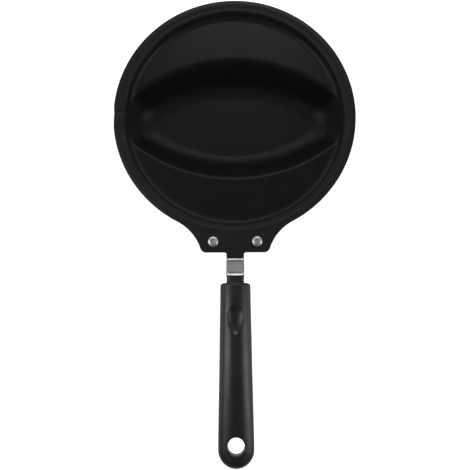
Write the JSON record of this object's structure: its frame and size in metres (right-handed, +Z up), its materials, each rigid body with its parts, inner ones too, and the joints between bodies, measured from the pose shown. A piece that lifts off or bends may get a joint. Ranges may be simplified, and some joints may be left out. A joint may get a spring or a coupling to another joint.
{
  "type": "omelette pan",
  "caption": "Round shallow non-stick pan with a deep boat-shaped well across it, a wide flat rim, a riveted steel strap and a moulded grip with a hanging hole.",
  "frame": {"origin": "centre of the flat underside of the well's floor, on the axis of the round rim", "axes": "+Z up out of the pan, +X along the well, and the handle points to -Y"},
  "size_m": [0.2394, 0.4484, 0.0697],
  "materials": {
    "non_stick_aluminium": "satin black non-stick coating on pressed aluminium",
    "bracket_steel": "brushed stainless steel",
    "rivet_aluminium": "plain, slightly burnished",
    "phenolic_grip": "satin moulded phenolic",
    "screw_steel": "zinc plated",
    "insert_brass": "plain turned"
  },
  "bodies": {
    "root": {"pan_body": "non_stick_aluminium", "handle_bracket": "bracket_steel", "rivet_left": "rivet_aluminium", "rivet_right": "rivet_aluminium", "handle_grip": "phenolic_grip", "grip_screw": "screw_steel", "screw_washer": "screw_steel", "threaded_insert": "insert_brass"}
  },
  "joints": []
}
